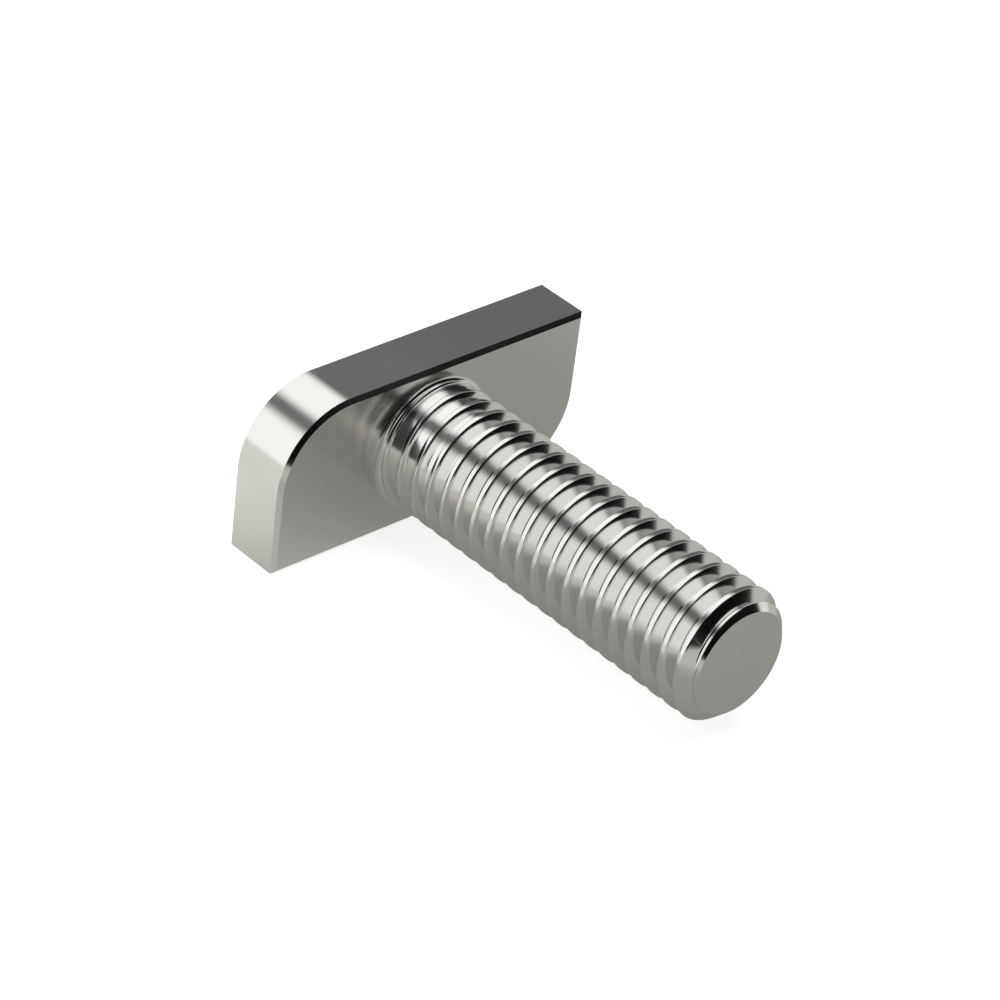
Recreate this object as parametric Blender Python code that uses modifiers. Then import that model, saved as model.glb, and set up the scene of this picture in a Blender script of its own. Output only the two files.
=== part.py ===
# Hammer head bolt M8 x 1.25 x 25 of stainless steel, forged and thread-rolled in one piece.
# The bolt lies on one long side of its head, and its axis runs along Y with the thread's end at -Y.
# Sizes are in metres. The origin is on the floor, under the middle of the whole bolt.

import math

import bmesh
import bpy

# Head: a bar with two opposite corners rounded, so that it turns in its slot and then locks.
HEAD_LENGTH = 0.0222
HEAD_WIDTH = 0.0100
HEAD_HEIGHT = 0.0037
CORNER_RADIUS = 0.0048
BEARING_EDGE_BEVEL = 0.00025

# Threaded shank. Lengths along it are measured from the head's bearing face.
THREAD_DIAMETER = 0.008
THREAD_PITCH = 0.00125
SHANK_LENGTH = 0.025
END_CHAMFER = 0.00085
# Middle of the first groove, on the side that faces the head's +X end.
FIRST_GROOVE = 0.0004

# Neck: the groove gets shallower towards the head, and a fillet leads into the bearing face.
RUNOUT_LENGTH = 0.005
NECK_GROOVE_DEPTH = 0.00015
NECK_FILLET = 0.00045

# Metric thread form: 60 degrees between the flanks, with flats at the crest and at the root.
FLANK_ANGLE = math.radians(30)
CREST_FLAT = THREAD_PITCH / 8
ROOT_FLAT = THREAD_PITCH / 6

# Facets.
TURN_STEPS = 36
CORNER_STEPS = 12
FILLET_STEPS = 5
SMOOTH_ANGLE = math.radians(28)
WELD_DISTANCE = 1e-7

CREST_RADIUS = THREAD_DIAMETER / 2
FLANK_RUN = (THREAD_PITCH - CREST_FLAT - ROOT_FLAT) / 2
GROOVE_DEPTH = FLANK_RUN / math.tan(FLANK_ANGLE)
ROOT_RADIUS = CREST_RADIUS - GROOVE_DEPTH
NECK_RADIUS = CREST_RADIUS - NECK_GROOVE_DEPTH
END_RADIUS = CREST_RADIUS - END_CHAMFER
INSIDE_HEAD = HEAD_HEIGHT / 2
# Pieces that cut each other are turned by half a facet, so that their edges never run along each other.
HALF_STEP = math.pi / TURN_STEPS


def remove_everything():
    for item in list(bpy.data.objects):
        bpy.data.objects.remove(item)


def new_collection(name):
    collection = bpy.data.collections.new(name)
    bpy.context.scene.collection.children.link(collection)
    return collection


def stainless_steel():
    material = bpy.data.materials.new("stainless_steel")
    material.use_nodes = True
    shader = material.node_tree.nodes["Principled BSDF"]
    shader.inputs["Base Color"].default_value = (0.56, 0.55, 0.53, 1.0)
    shader.inputs["Metallic"].default_value = 1.0
    shader.inputs["Roughness"].default_value = 0.3
    return material


def place(item, collection, axis, material):
    # Every piece is modelled with its axis along its own Z, and hangs on the bolt's axis.
    collection.objects.link(item)
    item.parent = axis
    item.data.materials.append(material)
    item.data.shade_smooth()
    item.data.set_sharp_from_angle(angle=SMOOTH_ANGLE)


def profile_mesh(name, points):
    mesh = bpy.data.meshes.new(name)
    edges = [(index, index + 1) for index in range(len(points) - 1)]
    mesh.from_pydata([(radius, 0.0, height) for radius, height in points], edges, [])
    return mesh


def turned_piece(name, points):
    # The profile runs from the axis, down the outer side and back to the axis.
    item = bpy.data.objects.new(name, profile_mesh(name, points))
    screw = item.modifiers.new("turn", "SCREW")
    screw.steps = TURN_STEPS
    screw.render_steps = TURN_STEPS
    screw.use_merge_vertices = True
    screw.merge_threshold = WELD_DISTANCE
    screw.use_smooth_shade = True
    return item


def as_cutter(item):
    item.hide_render = True
    item.display_type = "WIRE"


def join(item, other, operation):
    boolean = item.modifiers.new(other.name, "BOOLEAN")
    boolean.operation = operation
    boolean.object = other
    boolean.solver = "EXACT"


def evaluated_mesh(item):
    bpy.context.view_layer.update()
    graph = bpy.context.evaluated_depsgraph_get()
    return bpy.data.meshes.new_from_object(item.evaluated_get(graph))


def thread_profile():
    # One pitch of the thread from the middle of one groove down to the middle of the next.
    depths = (0.0, ROOT_FLAT / 2, ROOT_FLAT / 2 + FLANK_RUN)
    upper = [(ROOT_RADIUS, 0.0), (ROOT_RADIUS, -depths[1]), (CREST_RADIUS, -depths[2])]
    lower = [(radius, -THREAD_PITCH - height) for radius, height in reversed(upper)]
    return upper + lower


def close_end(mesh_data, loop_edges, height):
    # The open end is drawn together to one point on the axis.
    extruded = bmesh.ops.extrude_edge_only(mesh_data, edges=loop_edges)
    corners = [part for part in extruded["geom"] if isinstance(part, bmesh.types.BMVert)]
    bmesh.ops.pointmerge(mesh_data, verts=corners, merge_co=(0.0, 0.0, height))


def threaded_rod():
    # A right-hand thread, longer at both ends than the shank, which is then cut from it.
    turns = math.ceil((SHANK_LENGTH + INSIDE_HEAD) / THREAD_PITCH) + 3
    start = -FIRST_GROOVE + THREAD_PITCH * (math.ceil(INSIDE_HEAD / THREAD_PITCH) + 1)
    item = bpy.data.objects.new("rod", profile_mesh("rod", thread_profile()))
    bpy.context.scene.collection.objects.link(item)
    screw = item.modifiers.new("thread", "SCREW")
    screw.steps = TURN_STEPS
    screw.render_steps = TURN_STEPS
    screw.iterations = turns
    screw.screw_offset = -THREAD_PITCH
    screw.angle = -2 * math.pi
    weld = item.modifiers.new("weld", "WELD")
    weld.merge_threshold = WELD_DISTANCE
    mesh = evaluated_mesh(item)
    bpy.data.objects.remove(item)

    work = bmesh.new()
    work.from_mesh(mesh)
    middle = -THREAD_PITCH * (turns + 1) / 2
    open_edges = [edge for edge in work.edges if edge.is_boundary]
    upper = [edge for edge in open_edges if edge.verts[0].co.z > middle]
    lower = [edge for edge in open_edges if edge.verts[0].co.z <= middle]
    close_end(work, upper, -THREAD_PITCH / 2)
    close_end(work, lower, -THREAD_PITCH * (turns + 0.5))
    bmesh.ops.recalc_face_normals(work, faces=work.faces)
    bmesh.ops.translate(work, verts=work.verts, vec=(0.0, 0.0, start))
    work.to_mesh(mesh)
    work.free()
    return bpy.data.objects.new("threaded_rod", mesh)


def shank_limit():
    # Wider than the thread along its length, and cut at 45 degrees to the shank's end face.
    margin = THREAD_PITCH
    item = turned_piece("shank_limit", [
        (0.0, INSIDE_HEAD),
        (CREST_RADIUS + margin, INSIDE_HEAD),
        (CREST_RADIUS + margin, -SHANK_LENGTH + END_CHAMFER + margin),
        (END_RADIUS, -SHANK_LENGTH),
        (0.0, -SHANK_LENGTH),
    ])
    item.rotation_euler.z = HALF_STEP
    return item


def neck():
    # A core that fills the groove, less and less with the distance from the head.
    slope = (NECK_RADIUS - ROOT_RADIUS) / (RUNOUT_LENGTH - NECK_FILLET)
    below_root = THREAD_PITCH / 2
    points = [(0.0, INSIDE_HEAD), (NECK_RADIUS + NECK_FILLET, INSIDE_HEAD)]
    for step in range(FILLET_STEPS + 1):
        angle = math.pi / 2 * step / FILLET_STEPS
        radius = NECK_RADIUS + NECK_FILLET * (1 - math.sin(angle))
        points.append((radius, -NECK_FILLET * (1 - math.cos(angle))))
    points.append((ROOT_RADIUS - slope * below_root, -RUNOUT_LENGTH - below_root))
    points.append((0.0, -RUNOUT_LENGTH - below_root))
    item = turned_piece("neck", points)
    item.rotation_euler.z = HALF_STEP
    return item


def head_outline():
    # The corners at -X -Y and at +X +Y are rounded, and the other two are sharp.
    half_length = HEAD_LENGTH / 2
    half_width = HEAD_WIDTH / 2
    points = []
    for side in (-1, 1):
        centre_x = side * (half_length - CORNER_RADIUS)
        centre_y = side * (half_width - CORNER_RADIUS)
        for step in range(CORNER_STEPS + 1):
            angle = math.pi / 2 * step / CORNER_STEPS
            points.append((
                centre_x + side * CORNER_RADIUS * math.cos(angle),
                centre_y + side * CORNER_RADIUS * math.sin(angle),
            ))
        points.append((-side * half_length, side * half_width))
    return points


def head():
    outline = bpy.data.curves.new("head_outline", "CURVE")
    outline.dimensions = "2D"
    outline.fill_mode = "BOTH"
    outline.extrude = HEAD_HEIGHT / 2
    points = head_outline()
    spline = outline.splines.new("POLY")
    spline.points.add(len(points) - 1)
    for point, (x, y) in zip(spline.points, points):
        point.co = (x, y, 0.0, 1.0)
    spline.use_cyclic_u = True
    plate = bpy.data.objects.new("plate", outline)
    bpy.context.scene.collection.objects.link(plate)
    mesh = evaluated_mesh(plate)
    bpy.data.objects.remove(plate)
    bpy.data.curves.remove(outline)

    work = bmesh.new()
    work.from_mesh(mesh)
    bmesh.ops.remove_doubles(work, verts=work.verts, dist=WELD_DISTANCE)
    bmesh.ops.dissolve_limit(work, angle_limit=math.radians(1), verts=work.verts, edges=work.edges)
    bmesh.ops.translate(work, verts=work.verts, vec=(0.0, 0.0, HEAD_HEIGHT / 2))
    weight = work.edges.layers.float.new("bevel_weight_edge")
    for edge in work.edges:
        on_bearing_face = all(corner.co.z < HEAD_HEIGHT / 4 for corner in edge.verts)
        edge[weight] = 1.0 if on_bearing_face else 0.0
    work.to_mesh(mesh)
    work.free()
    item = bpy.data.objects.new("hammer_head_bolt", mesh)
    bevel = item.modifiers.new("bearing_edge", "BEVEL")
    bevel.limit_method = "WEIGHT"
    bevel.width = BEARING_EDGE_BEVEL
    bevel.segments = 1
    return item


def build_bolt():
    remove_everything()
    parts = new_collection("hammer_head_bolt")
    cutters = new_collection("construction")
    steel = stainless_steel()

    # Each piece's +Z becomes +Y, from the thread's end towards the head.
    axis = bpy.data.objects.new("bolt_axis", None)
    parts.objects.link(axis)
    axis.location = (0.0, (SHANK_LENGTH - HEAD_HEIGHT) / 2, HEAD_WIDTH / 2)
    axis.rotation_euler = (-math.pi / 2, 0.0, 0.0)

    bolt = head()
    rod = threaded_rod()
    limit = shank_limit()
    core = neck()
    place(bolt, parts, axis, steel)
    for piece in (rod, limit, core):
        place(piece, cutters, axis, steel)
        as_cutter(piece)
    join(rod, limit, "INTERSECT")
    join(bolt, rod, "UNION")
    join(bolt, core, "UNION")


build_bolt()
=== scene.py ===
import math

import bmesh
import bpy
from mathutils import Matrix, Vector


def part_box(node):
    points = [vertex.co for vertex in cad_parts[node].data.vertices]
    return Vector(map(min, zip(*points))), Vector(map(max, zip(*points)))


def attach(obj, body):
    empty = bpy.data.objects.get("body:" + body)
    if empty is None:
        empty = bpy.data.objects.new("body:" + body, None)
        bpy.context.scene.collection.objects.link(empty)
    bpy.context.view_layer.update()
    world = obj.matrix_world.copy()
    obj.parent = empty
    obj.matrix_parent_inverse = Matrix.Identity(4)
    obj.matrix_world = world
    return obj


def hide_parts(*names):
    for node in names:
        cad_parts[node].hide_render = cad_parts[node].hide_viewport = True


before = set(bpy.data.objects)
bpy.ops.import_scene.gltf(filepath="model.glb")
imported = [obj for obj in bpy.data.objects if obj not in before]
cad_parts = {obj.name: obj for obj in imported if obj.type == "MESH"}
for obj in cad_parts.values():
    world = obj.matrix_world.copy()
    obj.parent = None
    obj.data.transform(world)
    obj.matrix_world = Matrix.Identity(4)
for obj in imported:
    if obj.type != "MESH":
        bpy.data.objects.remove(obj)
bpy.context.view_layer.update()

# Hammer head bolt M8 x 25 of stainless steel. Lengths are in metres.
# Each piece is modelled with the bolt's axis along its own Z, the bearing face at Z = 0
# and the head above it.
weldDistance = 1e-7
nearby = 1e-6


def deselectAll():
    if bpy.context.object and bpy.context.object.mode != "OBJECT":
        bpy.ops.object.mode_set(mode="OBJECT")
    bpy.ops.object.select_all(action="DESELECT")


def activate(piece):
    deselectAll()
    piece.select_set(True)
    bpy.context.view_layer.objects.active = piece


def editPiece(piece):
    activate(piece)
    bpy.ops.object.mode_set(mode="EDIT")


def pick(piece, kind, test):
    # kind is VERT or EDGE, and each corner or edge that passes the test is selected
    bpy.ops.mesh.select_mode(type=kind)
    bpy.ops.mesh.select_all(action="DESELECT")
    work = bmesh.from_edit_mesh(piece.data)
    parts = {"VERT": work.verts, "EDGE": work.edges}[kind]
    for part in parts:
        part.select_set(bool(test(part)))
    work.select_flush_mode()
    bmesh.update_edit_mesh(piece.data)


def applyModifier(piece, kind, **settings):
    activate(piece)
    bpy.ops.object.modifier_add(type=kind)
    modifier = piece.modifiers[-1]
    for name, value in settings.items():
        setattr(modifier, name, value)
    bpy.ops.object.modifier_apply(modifier=modifier.name)


def combine(piece, other, operation):
    # Both are closed, and the other one is removed afterwards
    applyModifier(piece, "BOOLEAN", operation=operation, object=other, solver="EXACT")
    bpy.data.objects.remove(other)


def drawnProfile(name, points):
    # A small plane is merged to one corner, which is extruded from point to point
    # in the plane of X and Z. A point is a radius and a height
    deselectAll()
    bpy.ops.mesh.primitive_plane_add(size=0.001)
    piece = bpy.context.object
    piece.name = name
    bpy.ops.object.mode_set(mode="EDIT")
    bpy.ops.mesh.select_mode(type="VERT")
    bpy.ops.mesh.merge(type="CENTER")
    bpy.ops.transform.translate(value=(points[0][0], 0, points[0][1]))
    for (fromRadius, fromHeight), (radius, height) in zip(points, points[1:]):
        move = (radius - fromRadius, 0, height - fromHeight)
        bpy.ops.mesh.extrude_vertices_move(TRANSFORM_OT_translate={"value": move})
    bpy.ops.object.mode_set(mode="OBJECT")
    return piece


def roundProfile(piece, radius, place, turn, segments):
    # Rounds the profile's corners at that distance from the axis, where the line turns
    # by that angle
    editPiece(piece)
    pick(piece, "VERT",
         lambda corner: abs(corner.co.x - place) < nearby and len(corner.link_edges) == 2)
    bpy.ops.mesh.bevel(offset=radius * math.tan(turn / 2), segments=segments, affect="VERTICES")
    bpy.ops.object.mode_set(mode="OBJECT")


def turned(piece, steps):
    applyModifier(piece, "SCREW", steps=steps, render_steps=steps,
                  use_merge_vertices=True, merge_threshold=weldDistance)
    editPiece(piece)
    bpy.ops.mesh.select_all(action="SELECT")
    bpy.ops.mesh.normals_make_consistent(inside=False)
    bpy.ops.object.mode_set(mode="OBJECT")


thread = {
    "radius": 0.004,
    "pitch": 0.00125,
    "length": 0.024999,
    "firstGroove": 0.0004,
    "flankAngle": math.radians(27),
    "crestWidth": 0.00029,
    "rootWidth": 0.00018,
    "crestRounding": 0.00007,
    "rootRounding": 0.00014,
    "roundingSegments": 5,
    "endChamfer": 0.00085,
    "stepsPerTurn": 144,
    "turnsBeyond": 6,
    "startAbove": 3.5,
    "insideHead": 0.002,
}


def flankRun():
    # How far a flank reaches along the axis
    return (thread["pitch"] - thread["crestWidth"] - thread["rootWidth"]) / 2


def rootRadius():
    return thread["radius"] - flankRun() / math.tan(thread["flankAngle"])


def threadedRod():
    # A right-hand thread, longer at both ends than the shank that is cut from it
    pitch = thread["pitch"]
    crest = thread["radius"]
    run = flankRun()
    root = rootRadius()
    crestHalf = thread["crestWidth"] / 2
    points = [
        (crest, 0),
        (crest, -crestHalf),
        (root, -crestHalf - run),
        (root, -crestHalf - run - thread["rootWidth"]),
        (crest, -pitch + crestHalf),
        (crest, -pitch),
    ]
    rod = drawnProfile("threadedRod", points)
    turn = math.pi / 2 - thread["flankAngle"]
    roundProfile(rod, thread["rootRounding"], root, turn, thread["roundingSegments"])
    roundProfile(rod, thread["crestRounding"], crest, turn, thread["roundingSegments"])

    steps = thread["stepsPerTurn"]
    turns = math.ceil(thread["length"] / pitch) + thread["turnsBeyond"]
    applyModifier(rod, "SCREW", steps=steps, render_steps=steps, iterations=turns,
                  screw_offset=-pitch, angle=-2 * math.pi)
    editPiece(rod)
    bpy.ops.mesh.select_all(action="SELECT")
    bpy.ops.mesh.remove_doubles(threshold=weldDistance)

    # Each open end is drawn together to a point on the axis
    middle = -pitch * (turns + 1) / 2
    for upper in (True, False):
        pick(rod, "EDGE",
             lambda edge: edge.is_boundary and (edge.verts[0].co.z > middle) == upper)
        bpy.ops.mesh.extrude_edges_move()
        bpy.ops.mesh.merge(type="CENTER")
    bpy.ops.mesh.select_all(action="SELECT")
    bpy.ops.mesh.normals_make_consistent(inside=False)
    start = -thread["firstGroove"] + pitch * thread["startAbove"]
    bpy.ops.transform.translate(value=(0, 0, start))
    bpy.ops.object.mode_set(mode="OBJECT")
    return rod


def shankLimit():
    # A cylinder wider than the thread, with its lower rim cut at 45 degrees down to the end face
    margin = thread["pitch"]
    upper = thread["insideHead"]
    deselectAll()
    bpy.ops.mesh.primitive_cylinder_add(
        vertices=thread["stepsPerTurn"], radius=thread["radius"] + margin,
        depth=thread["length"] + upper, location=(0, 0, (upper - thread["length"]) / 2),
        rotation=(0, 0, math.pi / thread["stepsPerTurn"]))
    limit = bpy.context.object
    limit.name = "shankLimit"
    bpy.ops.object.transform_apply(location=True, rotation=True, scale=True)
    editPiece(limit)
    low = -thread["length"] + nearby
    pick(limit, "EDGE", lambda edge: all(corner.co.z < low for corner in edge.verts))
    bpy.ops.mesh.bevel(offset=thread["endChamfer"] + margin, segments=1)
    bpy.ops.object.mode_set(mode="OBJECT")
    return limit


neck = {
    "radius": 0.00385,
    "fillet": 0.00045,
    "runout": 0.005,
    "filletSteps": 10,
    "insideHead": 0.0018,
}


def neckCore():
    # Fills the groove near the head, less and less with the distance from it, and flares
    # into the bearing face
    radius = neck["radius"]
    fillet = neck["fillet"]
    root = rootRadius()
    slope = (radius - root) / (neck["runout"] - fillet)
    below = thread["pitch"] / 2
    points = [(0, neck["insideHead"]), (radius + fillet, neck["insideHead"])]
    for step in range(neck["filletSteps"] + 1):
        angle = math.pi / 2 * step / neck["filletSteps"]
        points.append((radius + fillet * (1 - math.sin(angle)), -fillet * (1 - math.cos(angle))))
    points.append((root - slope * below, -neck["runout"] - below))
    points.append((0, -neck["runout"] - below))
    core = drawnProfile("neckCore", points)
    turned(core, thread["stepsPerTurn"])
    core.rotation_euler.z = math.pi / thread["stepsPerTurn"]
    activate(core)
    bpy.ops.object.transform_apply(location=True, rotation=True, scale=True)
    return core


head = {
    "length": 0.0222,
    "width": 0.0100,
    "height": 0.0037,
    "cornerRadius": 0.0048,
    "cornerSegments": 36,
    "bearingBevel": 0.00025,
    "edgeRounding": 0.00003,
    "edgeSegments": 2,
    "edgeAngle": math.radians(60),
}


def headPlate():
    # A bar with two opposite corners rounded, a bevel round its bearing face and fine
    # rounding on the other edges
    deselectAll()
    bpy.ops.mesh.primitive_cube_add(size=1, location=(0, 0, head["height"] / 2),
                                    scale=(head["length"], head["width"], head["height"]))
    plate = bpy.context.object
    plate.name = "hammerHeadBolt"
    bpy.ops.object.transform_apply(location=True, rotation=True, scale=True)
    editPiece(plate)

    def roundedCorner(edge):
        first, second = (corner.co for corner in edge.verts)
        return abs(first.z - second.z) > head["height"] / 2 and first.x * first.y > 0

    pick(plate, "EDGE", roundedCorner)
    bpy.ops.mesh.bevel(offset=head["cornerRadius"], segments=head["cornerSegments"])
    pick(plate, "EDGE", lambda edge: all(corner.co.z < nearby for corner in edge.verts))
    bpy.ops.mesh.bevel(offset=head["bearingBevel"], segments=1)

    def outerEdge(edge):
        first, second = (corner.co for corner in edge.verts)
        rim = min(first.z, second.z) > head["height"] - nearby
        corner = abs(first.z - second.z) > head["height"] / 2 and first.x * first.y < 0
        return edge.calc_face_angle(0) > head["edgeAngle"] and (rim or corner)

    pick(plate, "EDGE", outerEdge)
    bpy.ops.mesh.bevel(offset=head["edgeRounding"], segments=head["edgeSegments"])
    bpy.ops.object.mode_set(mode="OBJECT")
    return plate


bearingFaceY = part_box("hammer_head_bolt")[1].y - head["height"]
axisHeight = head["width"] / 2
sharpAngle = math.radians(32)


def boltPiece():
    bolt = headPlate()
    rod = threadedRod()
    combine(rod, shankLimit(), "INTERSECT")
    combine(bolt, rod, "UNION")
    combine(bolt, neckCore(), "UNION")
    activate(bolt)
    bolt.rotation_euler.x = -math.pi / 2
    bolt.location = (0, bearingFaceY, axisHeight)
    bpy.ops.object.transform_apply(location=True, rotation=True, scale=True)
    bpy.ops.object.shade_smooth_by_angle(angle=sharpAngle)
    applyModifier(bolt, "WEIGHTED_NORMAL", keep_sharp=True)
    return bolt


bolt = boltPiece()
triangles = sum(len(face.vertices) - 2 for face in bolt.data.polygons)
print("bolt:", len(bolt.data.vertices), "corners,", triangles, "triangles")


grainLook = {"patchDetail": 4, "patchFrom": 0.35, "patchTo": 0.65, "grainDetail": 2}


def steelGrain():
    # Soft patches and fine grains, which all finishes have: patches change colour and
    # gloss, and grains and marks stand a little proud
    group = bpy.data.node_groups.new("steelGrain", "ShaderNodeTree")
    sockets = {
        "Plain Colour": "Color", "Patch Colour": "Color",
        "Patches Per Metre": "Float", "Grains Per Metre": "Float",
        "Least Roughness": "Float", "Most Roughness": "Float",
        "Grain Height": "Float", "Marks": "Float",
    }
    for name, kind in sockets.items():
        group.interface.new_socket(name=name, in_out="INPUT", socket_type="NodeSocket" + kind)
    for name, kind in {"Colour": "Color", "Roughness": "Float", "Normal": "Vector"}.items():
        group.interface.new_socket(name=name, in_out="OUTPUT", socket_type="NodeSocket" + kind)
    nodes, link = group.nodes, group.links.new
    given = nodes.new("NodeGroupInput").outputs
    result = nodes.new("NodeGroupOutput").inputs
    place = nodes.new("ShaderNodeTexCoord").outputs["Object"]

    patches = nodes.new("ShaderNodeTexNoise")
    patches.inputs["Detail"].default_value = grainLook["patchDetail"]
    link(place, patches.inputs["Vector"])
    link(given["Patches Per Metre"], patches.inputs["Scale"])
    spread = nodes.new("ShaderNodeMapRange")
    spread.inputs["From Min"].default_value = grainLook["patchFrom"]
    spread.inputs["From Max"].default_value = grainLook["patchTo"]
    link(patches.outputs["Fac"], spread.inputs["Value"])
    colour = nodes.new("ShaderNodeMix")
    colour.data_type = "RGBA"
    link(spread.outputs["Result"], colour.inputs["Factor"])
    link(given["Plain Colour"], colour.inputs["A"])
    link(given["Patch Colour"], colour.inputs["B"])
    link(colour.outputs["Result"], result["Colour"])

    grains = nodes.new("ShaderNodeTexNoise")
    grains.inputs["Detail"].default_value = grainLook["grainDetail"]
    link(place, grains.inputs["Vector"])
    link(given["Grains Per Metre"], grains.inputs["Scale"])
    gloss = nodes.new("ShaderNodeMapRange")
    link(spread.outputs["Result"], gloss.inputs["Value"])
    link(given["Least Roughness"], gloss.inputs["To Min"])
    link(given["Most Roughness"], gloss.inputs["To Max"])
    link(gloss.outputs["Result"], result["Roughness"])

    height = nodes.new("ShaderNodeMath")
    height.operation = "ADD"
    link(grains.outputs["Fac"], height.inputs[0])
    link(given["Marks"], height.inputs[1])
    lift = nodes.new("ShaderNodeBump")
    link(height.outputs[0], lift.inputs["Height"])
    link(given["Grain Height"], lift.inputs["Distance"])
    link(lift.outputs["Normal"], result["Normal"])
    return group


finishes = {
    "forgedSteel": {
        "Plain Colour": (0.795, 0.792, 0.77, 1), "Patch Colour": (0.78, 0.776, 0.75, 1),
        "Patches Per Metre": 260, "Grains Per Metre": 7000,
        "Least Roughness": 0.13, "Most Roughness": 0.16, "Grain Height": 0.0000004,
    },
    "bearingFaceSteel": {
        "Plain Colour": (0.795, 0.792, 0.77, 1), "Patch Colour": (0.78, 0.776, 0.75, 1),
        "Patches Per Metre": 260, "Grains Per Metre": 7000,
        "Least Roughness": 0.19, "Most Roughness": 0.2, "Grain Height": 0.0000002,
    },
    "rolledSteel": {
        "Plain Colour": (0.795, 0.792, 0.775, 1), "Patch Colour": (0.775, 0.77, 0.75, 1),
        "Patches Per Metre": 420, "Grains Per Metre": 9000,
        "Least Roughness": 0.12, "Most Roughness": 0.16, "Grain Height": 0.0000003,
    },
}
rollingMarks = {"linesPerMetre": 14000, "detail": 1, "depth": 0.6}
grain = steelGrain()


def steel(finish):
    material = bpy.data.materials.new(finish)
    material.use_nodes = True
    nodes, link = material.node_tree.nodes, material.node_tree.links.new
    shader = nodes["Principled BSDF"]
    shader.inputs["Metallic"].default_value = 1
    surface = nodes.new("ShaderNodeGroup")
    surface.node_tree = grain
    for name, value in finishes[finish].items():
        surface.inputs[name].default_value = value
    link(surface.outputs["Colour"], shader.inputs["Base Color"])
    link(surface.outputs["Roughness"], shader.inputs["Roughness"])
    link(surface.outputs["Normal"], shader.inputs["Normal"])
    return material


def addRollingMarks(material):
    # Fine lines round the thread that the rolling dies leave, side by side along the axis
    nodes, link = material.node_tree.nodes, material.node_tree.links.new
    parts = nodes.new("ShaderNodeSeparateXYZ")
    link(nodes.new("ShaderNodeTexCoord").outputs["Object"], parts.inputs[0])
    lines = nodes.new("ShaderNodeTexNoise")
    lines.noise_dimensions = "1D"
    lines.inputs["Scale"].default_value = rollingMarks["linesPerMetre"]
    lines.inputs["Detail"].default_value = rollingMarks["detail"]
    link(parts.outputs["Y"], lines.inputs["W"])
    depth = nodes.new("ShaderNodeMath")
    depth.operation = "MULTIPLY"
    depth.inputs[1].default_value = rollingMarks["depth"]
    link(lines.outputs["Fac"], depth.inputs[0])
    link(depth.outputs[0], nodes["Group"].inputs["Marks"])


bolt.data.materials.clear()
for finish in finishes:
    bolt.data.materials.append(steel(finish))
addRollingMarks(bolt.data.materials["rolledSteel"])
# A face's middle lies on the thread's side of the bearing face, on it, or behind it
besideFace = 1e-5
for face in bolt.data.polygons:
    if face.center.y < bearingFaceY - besideFace:
        finish = "rolledSteel"
    elif face.center.y < bearingFaceY + besideFace:
        finish = "bearingFaceSteel"
    else:
        finish = "forgedSteel"
    face.material_index = list(finishes).index(finish)
print("finishes:", ", ".join(finishes))
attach(bolt, "root")
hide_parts("hammer_head_bolt")

camera = {
    "place": (-0.12887036, -0.11985299, 0.12414652),
    "turn": (56.03828353, -6.25004205, -41.78290134),
    "lens": 139.0692066,
    "sensor": 36,
    "clip": (0.01, 10),
}


def addCamera():
    data = bpy.data.cameras.new("photoView")
    data.lens = camera["lens"]
    data.sensor_width = camera["sensor"]
    data.clip_start, data.clip_end = camera["clip"]
    item = bpy.data.objects.new("photoView", data)
    bpy.context.scene.collection.objects.link(item)
    item.location = camera["place"]
    item.rotation_euler = [math.radians(angle) for angle in camera["turn"]]
    bpy.context.scene.camera = item


addCamera()
print("camera: lens", round(camera["lens"]), "mm")


def calculate(tree, operation, first, second=0):
    # A Math node, whose inputs are numbers or other nodes' outputs
    node = tree.nodes.new("ShaderNodeMath")
    node.operation = operation
    for socket, value in zip(node.inputs, (first, second)):
        if isinstance(value, (int, float)):
            socket.default_value = value
        else:
            tree.links.new(value, socket)
    return node.outputs[0]


def softStep(tree, value, begin, end, before, after):
    # Goes smoothly from one level to the other between begin and end
    node = tree.nodes.new("ShaderNodeMapRange")
    node.interpolation_type = "SMOOTHSTEP"
    node.inputs["From Min"].default_value = begin
    node.inputs["From Max"].default_value = end
    node.inputs["To Min"].default_value = before
    node.inputs["To Max"].default_value = after
    tree.links.new(value, node.inputs["Value"])
    return node.outputs["Result"]


# The camera sees a white floor with a light shadow. The steel sees the floor with painted shade
# and painted light:
# grey near the bolt as a painted shade, and lighter farther off and to the side behind the
# head's left end as painted light
floorLook = {
    "size": 4,
    "roughness": 0.9,
    "colour": (0.9, 0.9, 0.9, 1),
    "cameraTint": (1, 1, 1, 1),
    "cameraWhite": 0.76,
    # The floor as the steel sees it: a darker colour and a glow, with painted shade near the
    # bolt and painted light farther off and to the side
    "steelColour": (0.25, 0.248, 0.235, 1),
    "steelTint": (1, 0.99, 0.94, 1),
    "boltHalfX": 0.011,
    "boltHalfY": 0.0144,
    "nearWhite": 0.22,
    "paintedFarLight": 0.2,
    "farFrom": 0.006,
    "farTo": 0.024,
    "sideDirection": (-0.5, 0.87),
    "paintedSideLight": 0.44,
    "sideFrom": 0.006,
    "sideTo": 0.026,
}


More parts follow.
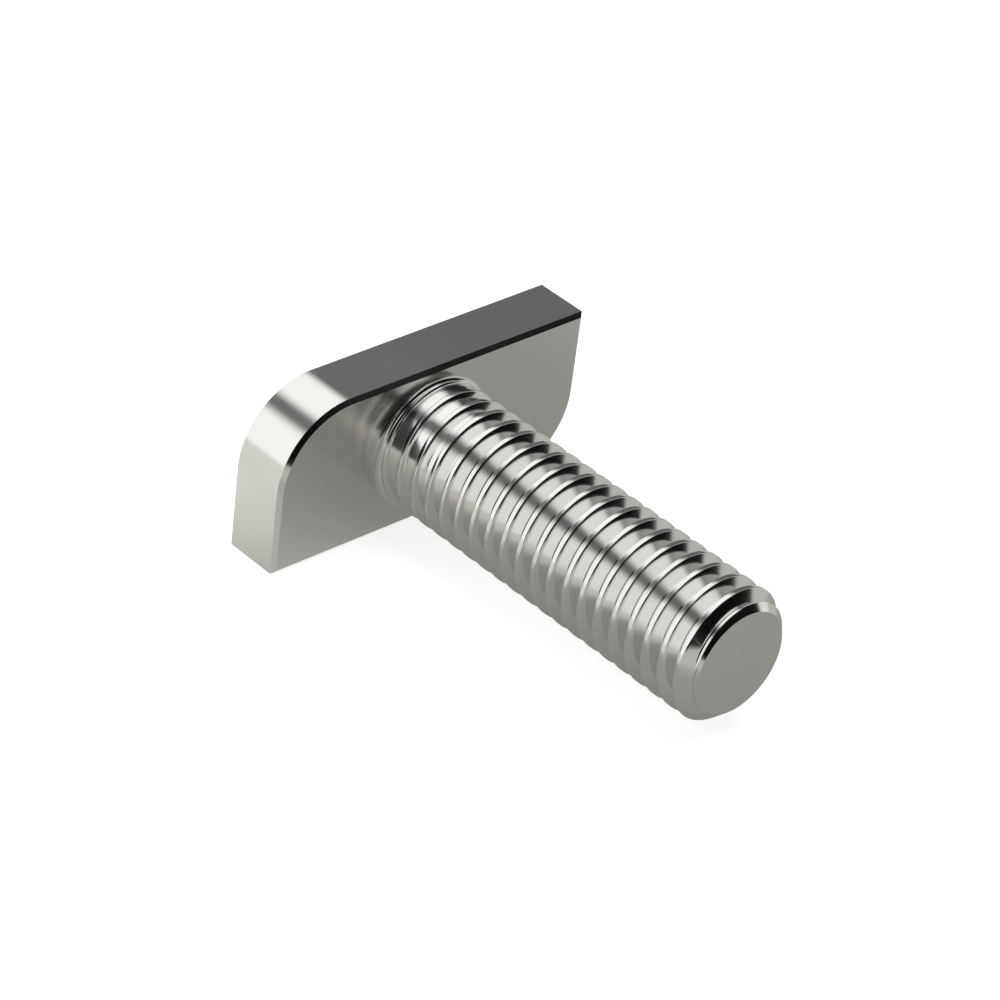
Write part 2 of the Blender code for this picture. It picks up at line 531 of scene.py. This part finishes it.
def addFloor():
    deselectAll()
    bpy.ops.mesh.primitive_plane_add(size=floorLook["size"], location=(0, 0, 0))
    floor = bpy.context.object
    floor.name = "floor"
    material = bpy.data.materials.new("paleFloor")
    material.use_nodes = True
    tree = material.node_tree
    nodes, link = tree.nodes, tree.links.new
    shader = nodes["Principled BSDF"]
    shader.inputs["Roughness"].default_value = floorLook["roughness"]
    shader.inputs["Specular IOR Level"].default_value = 0

    # How far a point lies outside the bolt's own outline on the floor, and how far to its side.
    # These place the painted shade near the bolt and the painted light farther off, as the steel
    # sees them
    parts = nodes.new("ShaderNodeSeparateXYZ")
    link(nodes.new("ShaderNodeTexCoord").outputs["Object"], parts.inputs[0])
    square = []
    sideways = []
    for axis, half, direction in (
            ("X", floorLook["boltHalfX"], floorLook["sideDirection"][0]),
            ("Y", floorLook["boltHalfY"], floorLook["sideDirection"][1])):
        place = parts.outputs[axis]
        outside = calculate(tree, "SUBTRACT", calculate(tree, "ABSOLUTE", place), half)
        square.append(calculate(tree, "POWER", calculate(tree, "MAXIMUM", outside), 2))
        sideways.append(calculate(tree, "MULTIPLY", place, direction))
    distance = calculate(tree, "SQRT", calculate(tree, "ADD", *square))
    side = calculate(tree, "ADD", *sideways)

    # Painted light in the steel's reflections: the floor glows brighter farther off and to the
    # side, over a dim painted shade near the bolt
    paintedFarLight = softStep(tree, distance, floorLook["farFrom"], floorLook["farTo"],
                        0, floorLook["paintedFarLight"])
    paintedSideLight = softStep(tree, side, floorLook["sideFrom"], floorLook["sideTo"],
                         0, floorLook["paintedSideLight"])
    farOrSide = calculate(tree, "MAXIMUM", paintedFarLight, paintedSideLight)
    white = calculate(tree, "ADD", farOrSide, floorLook["nearWhite"])
    # Only glossy and transmission rays, which the steel sends, see this painted light and shade
    path = nodes.new("ShaderNodeLightPath").outputs
    inSteel = calculate(tree, "MAXIMUM", path["Is Glossy Ray"], path["Is Transmission Ray"])
    paintedLightInSteel = calculate(tree, "MULTIPLY", inSteel, white)
    cameraWhite = calculate(tree, "MULTIPLY", path["Is Camera Ray"], floorLook["cameraWhite"])
    link(calculate(tree, "ADD", cameraWhite, paintedLightInSteel), shader.inputs["Emission Strength"])
    # The floor's colour seen by the steel is darker, a painted shade in its reflections
    for socket, seenByCamera, seenBySteel in (
            ("Base Color", floorLook["colour"], floorLook["steelColour"]),
            ("Emission Color", floorLook["cameraTint"], floorLook["steelTint"])):
        blend = nodes.new("ShaderNodeMix")
        blend.data_type = "RGBA"
        blend.inputs["A"].default_value = seenByCamera
        blend.inputs["B"].default_value = seenBySteel
        link(inSteel, blend.inputs["Factor"])
        link(blend.outputs["Result"], shader.inputs[socket])
    floor.data.materials.append(material)


addFloor()
print("floor:", floorLook["size"], "m")

# Soft panels far off round the bolt. Their turn is the angle about its axis, from level
# on the right end of the head over the top, and their slope is the angle from straight
# across the axis to straight behind the head, both in degrees. The four angles are where
# a panel begins, is full, is full up to, and ends
panels = {
    "topPanel": {"turn": (42, 61, 95, 114), "slope": (-33, -21, 75, 89), "brightness": 1.15},
    "leftPanel": {"turn": (116, 136, 200, 220), "slope": (-18, -8, 75, 89), "brightness": 1.15},
    "seam": {"turn": (95, 105, 125, 138), "slope": (-5, 10, 75, 89), "brightness": 0.165},
    "topFacePanel": {"turn": (-12, 12, 50, 60), "slope": (20, 32, 80, 90), "brightness": 0.15},
    "rightPanel": {"turn": (-40, -20, 40, 60), "slope": (-24, -16, 8, 20), "brightness": 0.45},
    "rightEndPanel": {"turn": (-10, 0, 14, 22), "slope": (-24, -19, -10, -4), "brightness": 0.9},
}
darkRoom = 0.004


def addWorld():
    world = bpy.data.worlds.new("studio")
    bpy.context.scene.world = world
    world.use_nodes = True
    tree = world.node_tree
    nodes, link = tree.nodes, tree.links.new
    parts = nodes.new("ShaderNodeSeparateXYZ")
    link(nodes.new("ShaderNodeTexCoord").outputs["Generated"], parts.inputs[0])
    angles = {
        "turn": calculate(tree, "ARCTAN2", parts.outputs["Z"], parts.outputs["X"]),
        "slope": calculate(tree, "ARCSINE", parts.outputs["Y"]),
    }
    light = darkRoom
    for panel in panels.values():
        strength = panel["brightness"]
        for name, angle in angles.items():
            begin, full, until, end = (math.radians(limit) for limit in panel[name])
            rise = softStep(tree, angle, begin, full, 0, 1)
            fall = softStep(tree, angle, until, end, 1, 0)
            inside = calculate(tree, "MULTIPLY", rise, fall)
            strength = calculate(tree, "MULTIPLY", strength, inside)
        light = calculate(tree, "MAXIMUM", light, strength)
    # The camera sees white beyond the floor
    cameraRay = nodes.new("ShaderNodeLightPath").outputs["Is Camera Ray"]
    light = calculate(tree, "MAXIMUM", light, cameraRay)
    nodes["Background"].inputs["Color"].default_value = (1, 1, 1, 1)
    link(light, nodes["Background"].inputs["Strength"])


addWorld()
print("panels:", ", ".join(panels))

bpy.context.scene.view_settings.view_transform = "Standard"
